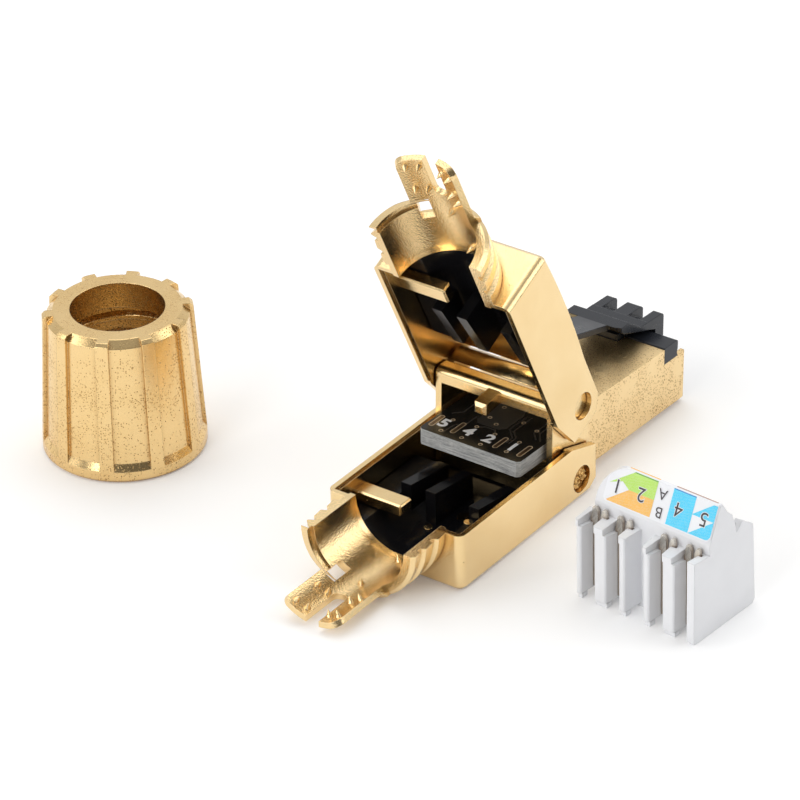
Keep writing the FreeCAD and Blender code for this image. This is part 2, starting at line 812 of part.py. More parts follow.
def manager_tooth(y0, y1, side, stepped):
    # Tooth standing off the core, thinner towards its tip, on a narrower foot
    x_root = core_front if side < 0 else core_rear
    t = min(tooth_taper, 0.3 * (y1 - y0))
    f = foot_inset
    xt = side * manager_half_depth
    xr = side * (x_root - tooth_sunk)
    xf = side * (manager_half_depth - f)
    levels = [(tooth_foot, manager_tooth_height - lip_height, y1 - tooth_lip)]
    levels += [(manager_tooth_height - lip_height, manager_tooth_height, y1)]
    body = None
    for z0, z1, y in levels:
        plan = [(xr, y0), (xt, y0 + t), (xt, y - t), (xr, y)]
        slab = plate_xy(plan, z0, z1)
        edges = [e for e in slab.Edges if along(e, AZ) and abs(e.CenterOfMass.x - xt) < 0.01]
        slab = slab.makeChamfer(tooth_edge, edges)
        body = slab if body is None else body.fuse(slab)
    xs = side * (manager_half_depth - foot_length)
    y = y1 - t - 2 * f - tooth_lip
    foot = [(xs, y0 + f), (xf, y0 + f), (xf, y), (xs, y)]
    body = body.fuse(plate_xy(foot, 0, tooth_foot))
    if stepped:
        # Lowered step where the wire is led into the slot beside the tooth
        z = manager_tooth_height - head_step
        lead = [(side * reach, z), (side * reach, reach), (side * x_root, reach)]
        lead += [(side * x_root, z - head_fall), (xt, z)]
        body = body.cut(plate_xz(lead, y0 - f, y0 + t + head_set))
    return body


def end_corner(y_end, top, radius):
    # What a rounded upper corner leaves out at the left end of the ridge
    k = radius * (1.0 - math.sqrt(0.5))
    a = Vector(-reach, y_end, top - radius)
    b = Vector(-reach, y_end - radius, top)
    arc = Part.Arc(a, Vector(-reach, y_end - k, top - k), b).toShape()
    corners = [b, Vector(-reach, y_end - radius, reach), Vector(-reach, reach, reach)]
    corners += [Vector(-reach, reach, top - radius), a]
    edges = [arc]
    for p, q in zip(corners[:-1], corners[1:]):
        edges.append(Part.makeLine(p, q))
    face = Part.Face(Part.Wire(Part.__sortEdges__(edges)))
    return face.extrude(Vector(2 * reach, 0, 0))


def manager_block():
    w = manager_half_width
    d = manager_half_depth
    core = [(-core_front, 0), (-core_front, core_shoulder)]
    core += [(ridge_x - ridge_flat, ridge_z), (ridge_x + ridge_flat, ridge_z)]
    core += [(back_knee_x, back_knee_z), (back_bump_x, back_bump_z)]
    core += [(core_rear - core_rear_set, core_rear_shoulder), (core_rear, wall_notch), (core_rear, 0)]
    y_end = w - core_end_set
    body = plate_xz(core, -w, y_end).cut(end_corner(y_end, ridge_z, core_end_r))
    for side in (-1, 1):
        for i, (y0, y1) in enumerate(tooth_spans()):
            body = body.fuse(manager_tooth(y0, y1, side, i < 2))
            body = body.fuse(manager_tooth(-y1, -y0, side, i > 0))
    # End wall on the right, closing the side in one plane
    c = wall_chamfer
    wall = [(-d, c), (-d, wall_front), (-core_front, wall_root), (core_rear, wall_notch)]
    wall += [(wall_peak_x, wall_peak), (wall_fall_x, wall_fall), (d - wall_lean, wall_rear)]
    wall += [(d, 2 * c), (d - 1.5 * c, 0), (c - d, 0)]
    body = body.fuse(plate_xz(wall, -w, end_wall - w))
    # Small lug beside the left end of the ridge
    y_lug = y_end - core_end_r + lug_aside
    body = body.fuse(box(ridge_x, ridge_x + lug_width, y_lug, y_lug + lug_length,
                         back_knee_z - lug_width, ridge_z - lug_drop))
    # Pockets that hold the contacts
    for x, y in contact_places():
        c = contact_clearance
        pocket = box(x - 0.5 * contact_thickness - c, x + 0.5 * contact_thickness + c,
                     y - 0.5 * contact_width - c, y + 0.5 * contact_width + c,
                     contact_bottom - c, reach)
        body = body.cut(pocket)
    return one_solid(body)


def contact_places():
    places = []
    for x in (-core_front - contact_setback, core_rear + contact_setback):
        for y in (slot_outer, slot_inner, -slot_inner, -slot_outer):
            places.append((x, y - contact_aside))
    return places


def idc_contact(x, y):
    # Forked plate: two prongs either side of a slit, shoulders below the prong tips
    w = 0.5 * contact_width
    s = 0.5 * contact_slit
    top = contact_top
    knee = top - contact_shoulder
    low = top - contact_slit_depth
    half = [(s, low), (s, top - 0.5), (s + 0.22, top), (w - 0.25, top), (w - 0.1, knee + 0.2)]
    half += [(w, knee), (w, contact_bottom)]
    mirror = [(-py, pz) for py, pz in reversed(half)]
    outline = [(y + py, pz) for py, pz in half + mirror]
    return plate_yz(outline, x - 0.5 * contact_thickness, x + 0.5 * contact_thickness)


def label():
    # Thin print sheet folded over the ridge, with rounded lower corners
    t = label_thickness
    w = manager_half_width
    run = core_front + ridge_x - ridge_flat
    rise = ridge_z - core_shoulder
    k = label_drop / math.hypot(run, rise)
    x_low = ridge_x - ridge_flat - run * k
    z_low = ridge_z - rise * k
    x_back = ridge_x + ridge_flat + (back_knee_x - ridge_x - ridge_flat) * label_back
    z_back = ridge_z - (ridge_z - back_knee_z) * label_back
    outer = [(x_low - t, z_low), (ridge_x - ridge_flat - 0.5 * t, ridge_z + t)]
    outer += [(ridge_x + ridge_flat + 0.5 * t, ridge_z + t), (x_back + t, z_back)]
    inner = [(x_back, z_back), (ridge_x + ridge_flat, ridge_z)]
    inner += [(ridge_x - ridge_flat, ridge_z), (x_low, z_low)]
    right = label_right_gap - w
    left = w - label_left_gap
    sheet = plate_xz(outer + inner, right, left)
    r = label_corner_r
    z = z_low + r
    for y0, y1, y in ((-reach, right + r, right + r), (left - r, reach, left - r)):
        corner = box(-reach, ridge_x - ridge_flat, y0, y1, -reach, z)
        sheet = sheet.cut(corner.cut(rod_x(r, -reach, reach, y, z)))
    y_end = w - core_end_set - label_end_gap
    return sheet.cut(end_corner(y_end, ridge_z + t, core_end_r - label_end_gap))


def set_housing(shape):
    # Nose-down pose of the housing over the lower hinge
    a = math.radians(nose_down)
    z0 = lower_back_front + lower_back_crown
    shape.rotate(Vector(0, 0, 0), AY, nose_down)
    shape.translate(Vector(hinge_half * math.sin(a), 0, z0 + hinge_half * math.cos(a)))
    return shape


def set_lower(shape):
    shape.rotate(Vector(0, 0, 0), AY, -lower_lid_open)
    shape.translate(Vector(0, 0, -hinge_half))
    return set_housing(shape)


def set_upper(shape):
    flipped = shape.mirror(Vector(0, 0, 0), AZ)
    flipped.rotate(Vector(0, 0, 0), AY, upper_lid_open)
    flipped.translate(Vector(0, 0, hinge_half))
    return set_housing(flipped)


def set_nut(shape):
    shape.rotate(Vector(0, 0, 0), AZ, nut_turn)
    shape.translate(Vector(nut_x, nut_y, 0))
    return shape


def set_manager(shape):
    shape.rotate(Vector(0, 0, 0), AZ, manager_turn)
    shape.translate(Vector(manager_x, manager_y, 0))
    return shape


def build():
    parts["body_shell"] = set_housing(housing())
    parts["contact_insert"] = set_housing(insert())
    parts["latch_lever"] = set_housing(latch())
    parts["circuit_board"] = set_housing(board())
    for i in range(blade_count):
        parts["contact_blade_%d" % (i + 1)] = set_housing(contact_blade(i))
    low = (lower_back_front, lower_back_rear, lower_back_crown)
    high = (upper_back_front, upper_back_rear, upper_back_crown)
    parts["lower_lid"] = set_lower(lid(*low, posts=True))
    parts["lower_lid_liner"] = set_lower(liner(*low, posts=True))
    parts["upper_lid"] = set_upper(lid(*high))
    parts["upper_lid_liner"] = set_upper(liner(*high))
    parts["gland_nut"] = set_nut(nut())
    parts["wire_manager_block"] = set_manager(manager_block())
    parts["wire_manager_label"] = set_manager(label())
    for i, (x, y) in enumerate(contact_places()):
        parts["idc_contact_%d" % (i + 1)] = set_manager(idc_contact(x, y))


build()
everything = Part.makeCompound(list(parts.values())).optimalBoundingBox(False)
shift = Vector(-everything.Center.x, -everything.Center.y, -everything.ZMin)
print("shift", round(shift.x, 4), round(shift.y, 4), round(shift.z, 4))
os.makedirs("parts", exist_ok=True)
for name, shape in parts.items():
    shape.translate(shift)
    shape.exportStep("parts/%s.step" % name)
    print(name, len(shape.Solids), shape.isValid(), round(shape.Volume, 2))
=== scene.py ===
import math

import bmesh
import bpy
from mathutils import Matrix, Vector


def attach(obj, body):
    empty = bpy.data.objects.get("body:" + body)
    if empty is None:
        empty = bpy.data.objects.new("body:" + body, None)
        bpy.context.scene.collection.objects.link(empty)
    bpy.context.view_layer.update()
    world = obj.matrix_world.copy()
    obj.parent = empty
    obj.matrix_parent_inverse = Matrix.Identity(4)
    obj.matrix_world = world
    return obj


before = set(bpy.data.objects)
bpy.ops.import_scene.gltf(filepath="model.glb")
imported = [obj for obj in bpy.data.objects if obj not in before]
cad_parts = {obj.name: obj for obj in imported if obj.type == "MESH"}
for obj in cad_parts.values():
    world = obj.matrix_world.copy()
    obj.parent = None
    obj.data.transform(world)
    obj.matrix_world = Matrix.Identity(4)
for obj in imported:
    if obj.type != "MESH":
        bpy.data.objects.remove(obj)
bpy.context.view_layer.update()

MM = 0.001

# Where the pieces stand on the table, in millimetres and degrees. The lower hinge pin carries
# the body, whose upper and lower pins lie half a spacing above and below its middle
HINGE = Vector((5.4962, -5.9562, 1.98))
HALF_SPACING = 3.83
NOSE_DOWN = 2.3
NUT = Vector((-9.8038, 28.0438, 0.0))
MANAGER = Vector((-4.4338, -28.7962, 0.0))
MANAGER_TURN = -4.0

# Heights and reaches on the pieces themselves
BOARD_TOP = 0.80
NUT_BORE = 6.05
THREAD_TOP = 10.25
THREAD_PITCH = 1.95
THREAD_RISE = 0.45
THREAD_TURNS = 4.4
LABEL_FOLD = 12.703
FLAP_TOP = Vector((-0.814, 0.0, 12.70))
FLAP_FOOT = Vector((-2.250, 0.0, 9.55))
LID_FLOOR = -1.17
PIN_END = 6.85
PIN_R = 1.26
BARREL_R = 1.82
BARREL_HALF = 6.40
BARREL_CUT = 1.10
PATCH_THICK = 0.006

# Where the camera stands and how it is turned, in millimetres and degrees
CAMERA_SPOT = Vector((-316.5018, -231.1332, 246.195))
CAMERA_HEADING, CAMERA_TILT, CAMERA_ROLL = 53.5, 31.2, 1.6
CAMERA_LENS, CAMERA_SENSOR = 225.0, 36.0
AWAY_FROM_CAMERA = (0.804, 0.595, 0.0)


def housing_place():
    turn = Matrix.Rotation(math.radians(NOSE_DOWN), 4, "Y")
    return Matrix.Translation(HINGE) @ turn @ Matrix.Translation((0, 0, HALF_SPACING))


def lower_place():
    return Matrix.Translation(HINGE)


def nut_place():
    return Matrix.Translation(NUT)


def manager_place():
    turn = Matrix.Rotation(math.radians(MANAGER_TURN), 4, "Z")
    return Matrix.Translation(MANAGER) @ turn


def board_place(x, y, turn=-90.0, lift=0.004):
    # On the board's top, where a digit stands with its head towards the nose
    spin = Matrix.Rotation(math.radians(turn), 4, "Z")
    return housing_place() @ Matrix.Translation((x, y, BOARD_TOP + lift)) @ spin


def over_board(lift):
    # In the board's own x and y, a little above its top
    return board_place(0, 0, 0.0, lift)


def flap_place(y, down, turn, lift):
    # On the label's front flap: x runs with the block, y climbs to the fold
    slope = (FLAP_TOP - FLAP_FOOT).normalized()
    along = Vector((0, -1, 0))
    out = along.cross(slope)
    spot = FLAP_TOP - slope * down + Vector((0, y, 0)) + out * lift
    turned = Matrix((along, slope, out)).transposed().to_4x4()
    spin = Matrix.Rotation(math.radians(turn), 4, "Z")
    return manager_place() @ Matrix.Translation(spot) @ turned @ spin


# How the surfaces are made
PAPER = (0.86, 0.87, 0.88, 1)
PIT_BROWN = (0.30, 0.16, 0.050, 1)
# Painted shade: the dark red-brown laid into corners and slots
PAINTED_SHADE_RED = (0.30, 0.13, 0.030, 1)


def new_material(name):
    mat = bpy.data.materials.new(name)
    mat.use_nodes = True
    nodes = mat.node_tree.nodes
    nodes.clear()
    out = nodes.new("ShaderNodeOutputMaterial")
    shader = nodes.new("ShaderNodeBsdfPrincipled")
    mat.node_tree.links.new(shader.outputs["BSDF"], out.inputs["Surface"])
    return mat, shader


def add_node(tree, kind, values=None, **settings):
    node = tree.nodes.new(kind)
    for key, value in settings.items():
        setattr(node, key, value)
    for key, value in (values or {}).items():
        node.inputs[key].default_value = value
    return node


def math_node(tree, operation, a, b=None, clamp=False):
    node = tree.nodes.new("ShaderNodeMath")
    node.operation = operation
    node.use_clamp = clamp
    tree.links.new(a, node.inputs[0])
    if isinstance(b, float):
        node.inputs[1].default_value = b
    elif b is not None:
        tree.links.new(b, node.inputs[1])
    return node.outputs[0]


def mix_colour(tree, factor, a, b):
    # The colour sockets of a Mix node come after those for numbers and for vectors
    node = tree.nodes.new("ShaderNodeMix")
    node.data_type = "RGBA"
    tree.links.new(factor, node.inputs[0])
    for socket, value in ((node.inputs[6], a), (node.inputs[7], b)):
        if isinstance(value, tuple):
            socket.default_value = value
        else:
            tree.links.new(value, socket)
    return node.outputs[2]


def map_range(tree, value, low, high, to_low=0.0, to_high=1.0):
    node = tree.nodes.new("ShaderNodeMapRange")
    tree.links.new(value, node.inputs["Value"])
    node.inputs["From Min"].default_value = low
    node.inputs["From Max"].default_value = high
    node.inputs["To Min"].default_value = to_low
    node.inputs["To Max"].default_value = to_high
    return node.outputs["Result"]


def darker(tree, colour, amount):
    # The colour with each channel times the amount, which is a number or a socket
    node = add_node(tree, "ShaderNodeVectorMath", operation="SCALE")
    tree.links.new(colour, node.inputs[0])
    if isinstance(amount, float):
        node.inputs["Scale"].default_value = amount
    else:
        tree.links.new(amount, node.inputs["Scale"])
    return node.outputs["Vector"]


def new_group(name, inputs, outputs):
    group = bpy.data.node_groups.new(name, "ShaderNodeTree")
    for label, kind, value in inputs:
        socket = group.interface.new_socket(label, in_out="INPUT", socket_type=kind)
        socket.default_value = value
    for label, kind in outputs:
        group.interface.new_socket(label, in_out="OUTPUT", socket_type=kind)
    start = group.nodes.new("NodeGroupInput")
    end = group.nodes.new("NodeGroupOutput")
    return group, start, end


def noise(tree, place, scale, detail=3.0, rough=0.5, stretch=None):
    node = add_node(tree, "ShaderNodeTexNoise",
                    {"Scale": scale, "Detail": detail, "Roughness": rough})
    if stretch:
        spread = add_node(tree, "ShaderNodeMapping", {"Scale": stretch})
        tree.links.new(place, spread.inputs["Vector"])
        place = spread.outputs["Vector"]
    tree.links.new(place, node.inputs["Vector"])
    return node.outputs["Fac"]


def make_plating_group():
    # Cast grain, faint drifts of tone and fine dark pits under a plated skin
    group, start, end = new_group(
        "plated_casting",
        [("Grain", "NodeSocketFloat", 0.5), ("Pits", "NodeSocketFloat", 0.5)],
        [("Tone", "NodeSocketFloat"), ("Pit", "NodeSocketFloat"),
         ("Height", "NodeSocketFloat"), ("Rough", "NodeSocketFloat")])
    place = add_node(group, "ShaderNodeTexCoord").outputs["Object"]
    fine = noise(group, place, 9000.0, 3.0, 0.6)
    broad = noise(group, place, 260.0, 3.0, 0.5)
    mid = noise(group, place, 1500.0, 4.0, 0.65)
    cells = add_node(group, "ShaderNodeTexVoronoi", {"Scale": 5200.0, "Randomness": 1.0})
    large = add_node(group, "ShaderNodeTexVoronoi", {"Scale": 2100.0, "Randomness": 1.0})
    for node in (cells, large):
        group.links.new(place, node.inputs["Vector"])
    spread = math_node(group, "MULTIPLY", map_range(group, broad, 0.28, 0.66),
                       start.outputs["Pits"])
    rare = math_node(group, "MULTIPLY", spread, 0.35)
    small_dot = math_node(group, "MULTIPLY",
                          map_range(group, cells.outputs["Distance"], 0.16, 0.42, 1.0, 0.0),
                          math_node(group, "LESS_THAN", cells.outputs["Color"], spread))
    large_dot = math_node(group, "MULTIPLY",
                          map_range(group, large.outputs["Distance"], 0.08, 0.26, 1.0, 0.0),
                          math_node(group, "LESS_THAN", large.outputs["Color"], rare))
    pit = math_node(group, "ADD", small_dot, large_dot, clamp=True)
    group.links.new(pit, end.inputs["Pit"])
    group.links.new(map_range(group, broad, 0.3, 0.7), end.inputs["Tone"])
    grain = math_node(group, "MULTIPLY", fine, start.outputs["Grain"])
    height = math_node(group, "ADD", grain, math_node(group, "MULTIPLY", mid, 0.8))
    height = math_node(group, "SUBTRACT", height, math_node(group, "MULTIPLY", pit, 1.4))
    group.links.new(height, end.inputs["Height"])
    group.links.new(map_range(group, mid, 0.3, 0.7), end.inputs["Rough"])
    return group


def make_painted_shade_group():
    # A mask of painted shade: from ambient occlusion, the corners and slots that the open faces
    # close in on, to be darkened as if shade fell there
    group, start, end = new_group("painted_shade_ao", [("Depth", "NodeSocketFloat", 0.5)],
                                  [("PaintedShade", "NodeSocketFloat")])
    around = add_node(group, "ShaderNodeAmbientOcclusion", {"Distance": 0.55 * MM}, samples=6)
    shade_mask = map_range(group, around.outputs["AO"], 0.35, 0.95, 1.0, 0.0)
    group.links.new(math_node(group, "MULTIPLY", shade_mask, start.outputs["Depth"]),
                    end.inputs["PaintedShade"])
    return group


def make_edge_group():
    # Rounds the light over an edge and lays fine relief on the faces
    group, start, end = new_group(
        "soft_edge",
        [("Height", "NodeSocketFloat", 0.5), ("Edge", "NodeSocketFloat", 0.06 * MM),
         ("Relief", "NodeSocketFloat", 0.2)],
        [("Normal", "NodeSocketVector")])
    soft = add_node(group, "ShaderNodeBevel", samples=6)
    group.links.new(start.outputs["Edge"], soft.inputs["Radius"])
    relief = add_node(group, "ShaderNodeBump", {"Distance": 0.02 * MM})
    group.links.new(start.outputs["Relief"], relief.inputs["Strength"])
    group.links.new(start.outputs["Height"], relief.inputs["Height"])
    group.links.new(soft.outputs["Normal"], relief.inputs["Normal"])
    group.links.new(relief.outputs["Normal"], end.inputs["Normal"])
    return group


def make_moulding_group():
    # The fine grain of moulded plastic, with slow clouds of tone and gloss
    group, start, end = new_group(
        "moulded_plastic",
        [("Colour", "NodeSocketColor", (0.5, 0.5, 0.5, 1)), ("Drift", "NodeSocketFloat", 0.9),
         ("Roughness", "NodeSocketFloat", 0.3)],
        [("Colour", "NodeSocketColor"), ("Roughness", "NodeSocketFloat"),
         ("Height", "NodeSocketFloat")])
    place = add_node(group, "ShaderNodeTexCoord").outputs["Object"]
    colour = start.outputs["Colour"]
    cloud = noise(group, place, 300.0, 4.0)
    group.links.new(mix_colour(group, map_range(group, cloud, 0.35, 0.65), colour,
                               darker(group, colour, start.outputs["Drift"])),
                    end.inputs["Colour"])
    gloss = map_range(group, cloud, 0.3, 0.7, 0.85, 1.2)
    group.links.new(math_node(group, "MULTIPLY", gloss, start.outputs["Roughness"]),
                    end.inputs["Roughness"])
    group.links.new(noise(group, place, 7000.0, 3.0), end.inputs["Height"])
    return group


def make_ink_group():
    # Ink laid down in a fine screen of dots, with pale paper between them
    group, start, end = new_group(
        "screened_ink",
        [("Ink", "NodeSocketColor", (0.5, 0.5, 0.5, 1)), ("Pale", "NodeSocketFloat", 0.1),
         ("Roughness", "NodeSocketFloat", 0.38)],
        [("Colour", "NodeSocketColor"), ("Roughness", "NodeSocketFloat")])
    place = add_node(group, "ShaderNodeTexCoord").outputs["Object"]
    ink = start.outputs["Ink"]
    dots = add_node(group, "ShaderNodeTexVoronoi", {"Scale": 9500.0, "Randomness": 0.55})
    group.links.new(place, dots.inputs["Vector"])
    screen = map_range(group, dots.outputs["Distance"], 0.30, 0.55)
    cloud = noise(group, place, 900.0, 3.0)
    ink = mix_colour(group, map_range(group, cloud, 0.3, 0.7), ink, darker(group, ink, 0.93))
    between = math_node(group, "MULTIPLY", screen, start.outputs["Pale"])
    group.links.new(mix_colour(group, between, ink, PAPER), end.inputs["Colour"])
    gloss = map_range(group, cloud, 0.3, 0.7, 0.9, 1.15)
    group.links.new(math_node(group, "MULTIPLY", gloss, start.outputs["Roughness"]),
                    end.inputs["Roughness"])
    return group


PLATING = make_plating_group()
PAINTED_SHADE = make_painted_shade_group()
SOFT_EDGE = make_edge_group()
MOULDING = make_moulding_group()
SCREEN = make_ink_group()


def soften_edges(tree, shader, height, edge, relief):
    worn = add_node(tree, "ShaderNodeGroup", {"Edge": edge * MM, "Relief": relief},
                    node_tree=SOFT_EDGE)
    tree.links.new(height, worn.inputs["Height"])
    tree.links.new(worn.outputs["Normal"], shader.inputs["Normal"])


def gold_material(name, colour, rough, grain, pits, bump, edge, depth=0.75, painted_shade_depth=0.55,
                  pits_from=None, tube=None):
    mat, shader = new_material(name)
    tree = mat.node_tree
    skin = add_node(tree, "ShaderNodeGroup", {"Grain": grain, "Pits": pits}, node_tree=PLATING)
    if pits_from:
        # The pits and a satin skin belong to one end of the casting and fade in over a millimetre
        place = add_node(tree, "ShaderNodeTexCoord").outputs["Object"]
        split = add_node(tree, "ShaderNodeSeparateXYZ")
        tree.links.new(place, split.inputs["Vector"])
        along, fade = split.outputs["X"], (pits_from * MM, (pits_from + 1.0) * MM)
        tree.links.new(map_range(tree, along, *fade, 0.0, pits), skin.inputs["Pits"])
        satin = map_range(tree, along, *fade, 0.0, 0.15)
    shade = mix_colour(tree, skin.outputs["Tone"], colour,
                       (colour[0] * 0.95, colour[1] * 0.92, colour[2] * 0.86, 1))
    shade = mix_colour(tree, math_node(tree, "MULTIPLY", skin.outputs["Pit"], depth), shade,
                       PIT_BROWN)
    # Painted shade: corners and slots get a darker, redder colour than the open faces, from
    # ambient occlusion
    painted_shade_node = add_node(tree, "ShaderNodeGroup", {"Depth": painted_shade_depth}, node_tree=PAINTED_SHADE)
    shade = mix_colour(tree, painted_shade_node.outputs["PaintedShade"], shade, PAINTED_SHADE_RED)
    tree.links.new(shade, shader.inputs["Base Color"])
    shader.inputs["Metallic"].default_value = 1.0
    uneven = map_range(tree, skin.outputs["Rough"], 0.0, 1.0, rough * 0.85, rough * 1.2)
    dull = math_node(tree, "MULTIPLY", skin.outputs["Pit"], 0.3)
    if pits_from:
        dull = math_node(tree, "ADD", dull, satin)
    height = skin.outputs["Height"]
    if tube:
        # The half tube at the cable end has a rougher skin than the rest of the casting
        way, begins = tube
        place = add_node(tree, "ShaderNodeTexCoord").outputs["Object"]
        reach = add_node(tree, "ShaderNodeVectorMath", operation="DOT_PRODUCT")
        tree.links.new(place, reach.inputs[0])
        reach.inputs[1].default_value = way
        end = map_range(tree, reach.outputs["Value"], (begins - 0.4) * MM, begins * MM)
        grit = math_node(tree, "MULTIPLY", noise(tree, place, 5600.0, 2.0, 0.6), 4.0)
        height = math_node(tree, "ADD", height, math_node(tree, "MULTIPLY", grit, end))
        dull = math_node(tree, "ADD", dull, math_node(tree, "MULTIPLY", end, 0.02))
    tree.links.new(math_node(tree, "ADD", uneven, dull), shader.inputs["Roughness"])
    soften_edges(tree, shader, height, edge, bump)
    return mat


def plastic_material(name, colour, rough, bump=0.1, edge=0.02, drift=0.9, specular=0.5):
    mat, shader = new_material(name)
    tree = mat.node_tree
    skin = add_node(tree, "ShaderNodeGroup",
                    {"Colour": colour, "Drift": drift, "Roughness": rough}, node_tree=MOULDING)
    tree.links.new(skin.outputs["Colour"], shader.inputs["Base Color"])
    tree.links.new(skin.outputs["Roughness"], shader.inputs["Roughness"])
    shader.inputs["Specular IOR Level"].default_value = specular
    soften_edges(tree, shader, skin.outputs["Height"], edge, bump)
    return mat


def board_material():
    # Black varnish over the top and bottom, bare streaky glass cloth along the cut edges
    mat, shader = new_material("board_laminate")
    tree = mat.node_tree
    place = add_node(tree, "ShaderNodeTexCoord").outputs["Object"]
    face = add_node(tree, "ShaderNodeNewGeometry").outputs["Normal"]
    split = add_node(tree, "ShaderNodeSeparateXYZ")
    tree.links.new(face, split.inputs["Vector"])
    level = math_node(tree, "ABSOLUTE", split.outputs["Z"])
    edge = math_node(tree, "LESS_THAN", level, 0.5)
    layers = noise(tree, place, 420.0, 4.0, 0.6, (1.0, 1.0, 16.0))
    threads = noise(tree, place, 2600.0, 3.0, 0.7, (1.0, 1.0, 5.0))
    streak = math_node(tree, "ADD", math_node(tree, "MULTIPLY", layers, 0.6),
                       math_node(tree, "MULTIPLY", threads, 0.4))
    glass = mix_colour(tree, map_range(tree, streak, 0.36, 0.62),
                       (0.20, 0.21, 0.22, 1), (0.62, 0.63, 0.62, 1))
    cloud = noise(tree, place, 700.0, 3.0)
    varnish = mix_colour(tree, map_range(tree, cloud, 0.35, 0.65),
                         (0.010, 0.010, 0.009, 1), (0.018, 0.016, 0.013, 1))
    tree.links.new(mix_colour(tree, edge, varnish, glass), shader.inputs["Base Color"])
    tree.links.new(map_range(tree, edge, 0.0, 1.0, 0.26, 0.62), shader.inputs["Roughness"])
    shader.inputs["Specular IOR Level"].default_value = 0.28
    relief = add_node(tree, "ShaderNodeBump", {"Strength": 0.35, "Distance": 0.03 * MM})
    tree.links.new(math_node(tree, "MULTIPLY", streak, edge), relief.inputs["Height"])
    tree.links.new(relief.outputs["Normal"], shader.inputs["Normal"])
    return mat


def print_material(name, colour, pale):
    mat, shader = new_material(name)
    tree = mat.node_tree
    skin = add_node(tree, "ShaderNodeGroup", {"Ink": colour, "Pale": pale}, node_tree=SCREEN)
    tree.links.new(skin.outputs["Colour"], shader.inputs["Base Color"])
    tree.links.new(skin.outputs["Roughness"], shader.inputs["Roughness"])
    return mat


def dress(node, mat):
    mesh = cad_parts[node].data
    mesh.materials.clear()
    mesh.materials.append(mat)


# The finishes of this plug
GOLD = (0.92, 0.70, 0.38, 1)
# Which way each half tube points, and how far out along that way it begins
LOWER_TUBE = ((-1.0, 0.0, 0.0), 13.9)
UPPER_TUBE = ((-0.424, 0.0, 0.906), 25.7)
gold_lower = gold_material("gold_lower_lid", GOLD, rough=0.19, grain=1.1, pits=0.10, bump=0.38,
                           edge=0.06, tube=LOWER_TUBE)
gold_upper = gold_material("gold_upper_lid", GOLD, rough=0.19, grain=1.1, pits=0.10, bump=0.38,
                           edge=0.06, tube=UPPER_TUBE)
gold_shell = gold_material("gold_shell", GOLD, rough=0.22, grain=0.8, pits=1.5, bump=0.34,
                           edge=0.08, pits_from=7.6)
gold_nut = gold_material("gold_nut", (0.86, 0.62, 0.30, 1), rough=0.22, grain=1.2, pits=0.85,
                         bump=0.36, edge=0.12)
gold_blade = gold_material("gold_blade", (0.90, 0.66, 0.33, 1), rough=0.15, grain=0.2, pits=0.0,
                           bump=0.1, edge=0.04)
smoke = plastic_material("smoke_plastic", (0.022, 0.025, 0.032, 1), rough=0.28, bump=0.15,
                         edge=0.12, specular=0.32)
liner_black = plastic_material("liner_black", (0.006, 0.006, 0.007, 1), rough=0.16, bump=0.08,
                               edge=0.06, specular=0.13)
board_laminate = board_material()
white = plastic_material("manager_white", (0.83, 0.835, 0.855, 1), rough=0.42, bump=0.2,
                         edge=0.12, drift=0.975)
label_sheet = plastic_material("label_sheet", (0.89, 0.90, 0.93, 1), rough=0.35, drift=0.985)
tin = gold_material("fork_tin", (0.70, 0.67, 0.62, 1), rough=0.20, grain=0.4, pits=0.05,
                    bump=0.15, edge=0.04)
ink_green = print_material("ink_green", (0.50, 0.82, 0.09, 1), pale=0.18)
ink_orange = print_material("ink_orange", (1.0, 0.53, 0.07, 1), pale=0.18)
ink_blue = print_material("ink_blue", (0.05, 0.68, 1.0, 1), pale=0.14)
ink_deep = print_material("ink_deep_green", (0.12, 0.42, 0.03, 1), pale=0.10)
ink_sea = print_material("ink_deep_blue", (0.01, 0.28, 0.72, 1), pale=0.10)
ink_brown = print_material("ink_brown", (0.42, 0.20, 0.13, 1), pale=0.25)
ink_grey = print_material("ink_grey", (0.060, 0.050, 0.055, 1), pale=0.0)
digit_white = print_material("digit_white", (0.95, 0.97, 0.99, 1), pale=0.0)
# The pads' middles: the bronze of the plating, darkened into painted shade where the plated slots
# go down through the board
pad_bronze_slot_shade = gold_material("pad_bronze_slot_shade", (0.17, 0.12, 0.08, 1), rough=0.45, grain=0.5, pits=0.1,
                           bump=0.2, edge=0.02, painted_shade_depth=0.0)
pad_rim = plastic_material("pad_rim", (0.64, 0.49, 0.32, 1), rough=0.30)
trace_black = plastic_material("trace_black", (0.060, 0.052, 0.042, 1), rough=0.28)
# Painted shade: a near-black disc that stands for the depth of each via's hole
via_hole_shade = plastic_material("via_hole_shade", (0.004, 0.004, 0.004, 1), rough=0.5)
field_varnish = plastic_material("field_varnish", (0.050, 0.044, 0.036, 1), rough=0.34)
pin_torn = gold_material("pin_torn", (0.66, 0.42, 0.16, 1), rough=0.24, grain=2.0, pits=1.0,
                         bump=1.0, edge=0.01, depth=0.9, painted_shade_depth=0.6)

for node, mat in (("upper_lid", gold_upper), ("lower_lid", gold_lower), ("body_shell", gold_shell),
                  ("gland_nut", gold_nut), ("contact_insert", smoke), ("latch_lever", smoke),
                  ("upper_lid_liner", liner_black), ("lower_lid_liner", liner_black),
                  ("circuit_board", board_laminate), ("wire_manager_block", white),
                  ("wire_manager_label", label_sheet)):
    dress(node, mat)
for i in range(1, 9):
    dress("contact_blade_%d" % i, gold_blade)
    dress("idc_contact_%d" % i, tin)


# The fine pieces that the solids leave to the scene

